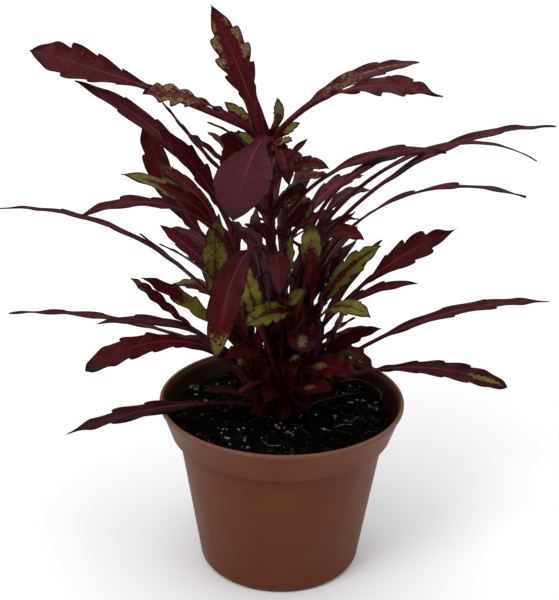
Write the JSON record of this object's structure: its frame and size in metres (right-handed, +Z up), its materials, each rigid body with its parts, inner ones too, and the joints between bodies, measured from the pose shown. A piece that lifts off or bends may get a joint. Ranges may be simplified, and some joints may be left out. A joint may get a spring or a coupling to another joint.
{
  "type": "potted coleus",
  "caption": "House plant with upright square stems of narrow, lobed burgundy and lime leaves, standing in soil in a round tapered plastic pot with a flared rim band.",
  "frame": {"origin": "centre of the pot's flat base, on the surface that it stands on", "axes": "+Z up; -Y is the side that the picture shows, with +X to its right"},
  "size_m": [0.2517, 0.1682, 0.2542],
  "materials": {
    "pot_plastic": "moulded satin, terracotta brown",
    "potting_soil": "rough, damp, nearly black, with pale grit",
    "coleus_leaf": "soft satin burgundy with lime patches and fine veins"
  },
  "bodies": {
    "root": {"pot": "pot_plastic", "soil": "potting_soil", "stem_main": "coleus_leaf", "stem_left": "coleus_leaf", "stem_right": "coleus_leaf", "stem_back": "coleus_leaf"}
  },
  "joints": []
}
